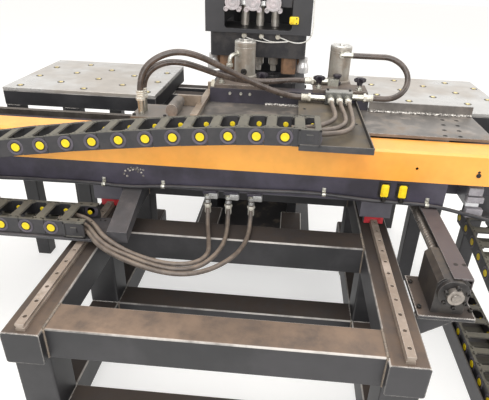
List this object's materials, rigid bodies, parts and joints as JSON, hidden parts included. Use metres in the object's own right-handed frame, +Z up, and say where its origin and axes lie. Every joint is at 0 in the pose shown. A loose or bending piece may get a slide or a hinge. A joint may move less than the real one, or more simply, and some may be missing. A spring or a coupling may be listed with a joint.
{
  "type": "cnc plate punching machine",
  "caption": "Plate punching machine: C-frame press with selectable round punches, sheet tables and a two-axis clamp feed with ball screws, drag chains and hydraulic hoses.",
  "frame": {"origin": "on the floor, under the axis of the middle punch", "axes": "+X to the operator's right along the cross beam, +Y from the operator into the press, +Z up"},
  "size_m": [2.73, 2.275, 1.76],
  "materials": {
    "frame_paint": "satin paint, dusty",
    "beam_paint": "satin paint, dusty",
    "cover_paint": "satin paint",
    "press_paint": "satin paint",
    "plate_steel": "ground steel",
    "rail_steel": "ground steel, dusty",
    "tool_steel": "turned and ground steel",
    "block_steel": "ground steel",
    "cylinder_paint": "satin paint",
    "red_seal": "matt",
    "chain_plastic": "matt, dusty",
    "hose_rubber": "matt",
    "cable_sheath": "matt",
    "zinc": "zinc plated",
    "alu": "anodised",
    "servo_paint": "satin paint",
    "rusty_steel": "brown surface rust",
    "trough_paint": "satin paint, dusty"
  },
  "bodies": {
    "base": {"press_side_plates": "press_paint", "press_cross_plates": "press_paint", "head_front": "press_paint", "main_cylinder": "cylinder_paint", "punch_guide_block": "tool_steel", "stripper_blocks": "rusty_steel", "die_set": "tool_steel", "table_plates": "plate_steel", "table_frames": "frame_paint", "stand_frame": "frame_paint", "levelling_feet": "zinc", "y_rails": "rail_steel", "screw_bearings": "rusty_steel", "screw_guard": "plate_steel", "y_servo": "servo_paint", "y_chain_trough": "trough_paint", "y_chain_lower": "chain_plastic"},
    "ram": {"ram_block": "tool_steel", "ram_piston": "zinc", "selector_cylinders": "alu"},
    "selector_left": {"selector_left": "tool_steel"},
    "selector_middle": {"selector_middle": "tool_steel"},
    "selector_right": {"selector_right": "tool_steel"},
    "punch_left": {"punch_left": "tool_steel"},
    "punch_middle": {"punch_middle": "tool_steel"},
    "punch_right": {"punch_right": "tool_steel"},
    "y_carriage": {"y_slide_blocks": "block_steel", "block_seals": "red_seal", "risers": "frame_paint", "main_beam": "beam_paint", "beam_cover": "cover_paint", "x_rails": "rail_steel", "beam_end_blocks": "alu", "x_servo": "servo_paint", "y_nut_bracket": "block_steel", "chain_support": "beam_paint", "supply_fittings": "zinc", "supply_hoses": "hose_rubber", "beam_conduit": "cable_sheath", "y_chain_upper": "chain_plastic", "x_chain_lower": "chain_plastic"},
    "y_chain_bend": {"y_chain_bend": "chain_plastic"},
    "x_chain_bend": {"x_chain_bend": "chain_plastic"},
    "y_screw": {"y_screw": "rail_steel"},
    "x_screw": {"x_screw": "rail_steel"},
    "x_carriage": {"x_slide_blocks": "block_steel", "carriage_plate": "plate_steel", "clamp_rail": "frame_paint", "tray": "plate_steel", "x_chain_upper": "chain_plastic", "manifold": "zinc", "hose_fittings": "zinc", "clamp_bodies": "cylinder_paint", "clamp_cylinders": "alu", "gauge_base": "alu", "clamp_hoses": "hose_rubber", "chain_end_hoses": "hose_rubber"},
    "clamp_jaw_left": {"clamp_jaw_left": "tool_steel"},
    "clamp_jaw_right": {"clamp_jaw_right": "tool_steel"},
    "gauge_bar": {"gauge_bar": "plate_steel"}
  },
  "joints": [
    {"name": "y_feed", "type": "slide", "parent": "base", "child": "y_carriage", "axis": [0, 1, 0], "range_m": [-0.58, 0], "deforming": ["y_chain_upper", "y_chain_lower"]},
    {"name": "x_feed", "type": "slide", "parent": "y_carriage", "child": "x_carriage", "axis": [1, 0, 0], "range_m": [-1.42, 0.08], "deforming": ["x_chain_upper", "x_chain_lower"]},
    {"name": "y_chain_travel", "type": "slide", "parent": "base", "child": "y_chain_bend", "axis": [0, 1, 0], "range_m": [-0.29, 0]},
    {"name": "x_chain_travel", "type": "slide", "parent": "y_carriage", "child": "x_chain_bend", "axis": [1, 0, 0], "range_m": [-0.71, 0.04]},
    {"name": "y_screw_turn", "type": "hinge", "parent": "base", "child": "y_screw", "pos_m": [0.602, -0.7, 0.567], "axis": [0, 1, 0], "continuous": true},
    {"name": "x_screw_turn", "type": "hinge", "parent": "y_carriage", "child": "x_screw", "pos_m": [0, -0.6025, 0.728], "axis": [1, 0, 0], "continuous": true},
    {"name": "left_jaw_close", "type": "slide", "parent": "x_carriage", "child": "clamp_jaw_left", "axis": [0, 0, 1], "range_m": [-0.012, 0]},
    {"name": "right_jaw_close", "type": "slide", "parent": "x_carriage", "child": "clamp_jaw_right", "axis": [0, 0, 1], "range_m": [-0.012, 0]},
    {"name": "gauge_stroke", "type": "slide", "parent": "x_carriage", "child": "gauge_bar", "axis": [0, 1, 0], "range_m": [0, 0.045]},
    {"name": "ram_stroke", "type": "slide", "parent": "base", "child": "ram", "axis": [0, 0, 1], "range_m": [-0.025, 0]},
    {"name": "selector_left_stroke", "type": "slide", "parent": "ram", "child": "selector_left", "axis": [0, 1, 0], "range_m": [0, 0.045]},
    {"name": "selector_middle_stroke", "type": "slide", "parent": "ram", "child": "selector_middle", "axis": [0, 1, 0], "range_m": [0, 0.045]},
    {"name": "selector_right_stroke", "type": "slide", "parent": "ram", "child": "selector_right", "axis": [0, 1, 0], "range_m": [0, 0.045]},
    {"name": "punch_left_stroke", "type": "slide", "parent": "base", "child": "punch_left", "axis": [0, 0, 1], "range_m": [-0.025, 0]},
    {"name": "punch_middle_stroke", "type": "slide", "parent": "base", "child": "punch_middle", "axis": [0, 0, 1], "range_m": [-0.025, 0]},
    {"name": "punch_right_stroke", "type": "slide", "parent": "base", "child": "punch_right", "axis": [0, 0, 1], "range_m": [-0.025, 0]}
  ],
  "couplings": [
    {"joint": "y_chain_travel", "follows": "y_feed", "ratio": 0.5},
    {"joint": "x_chain_travel", "follows": "x_feed", "ratio": 0.5},
    {"joint": "y_screw_turn", "follows": "y_feed", "rad_per_m": 314.16},
    {"joint": "x_screw_turn", "follows": "x_feed", "rad_per_m": 314.16}
  ]
}
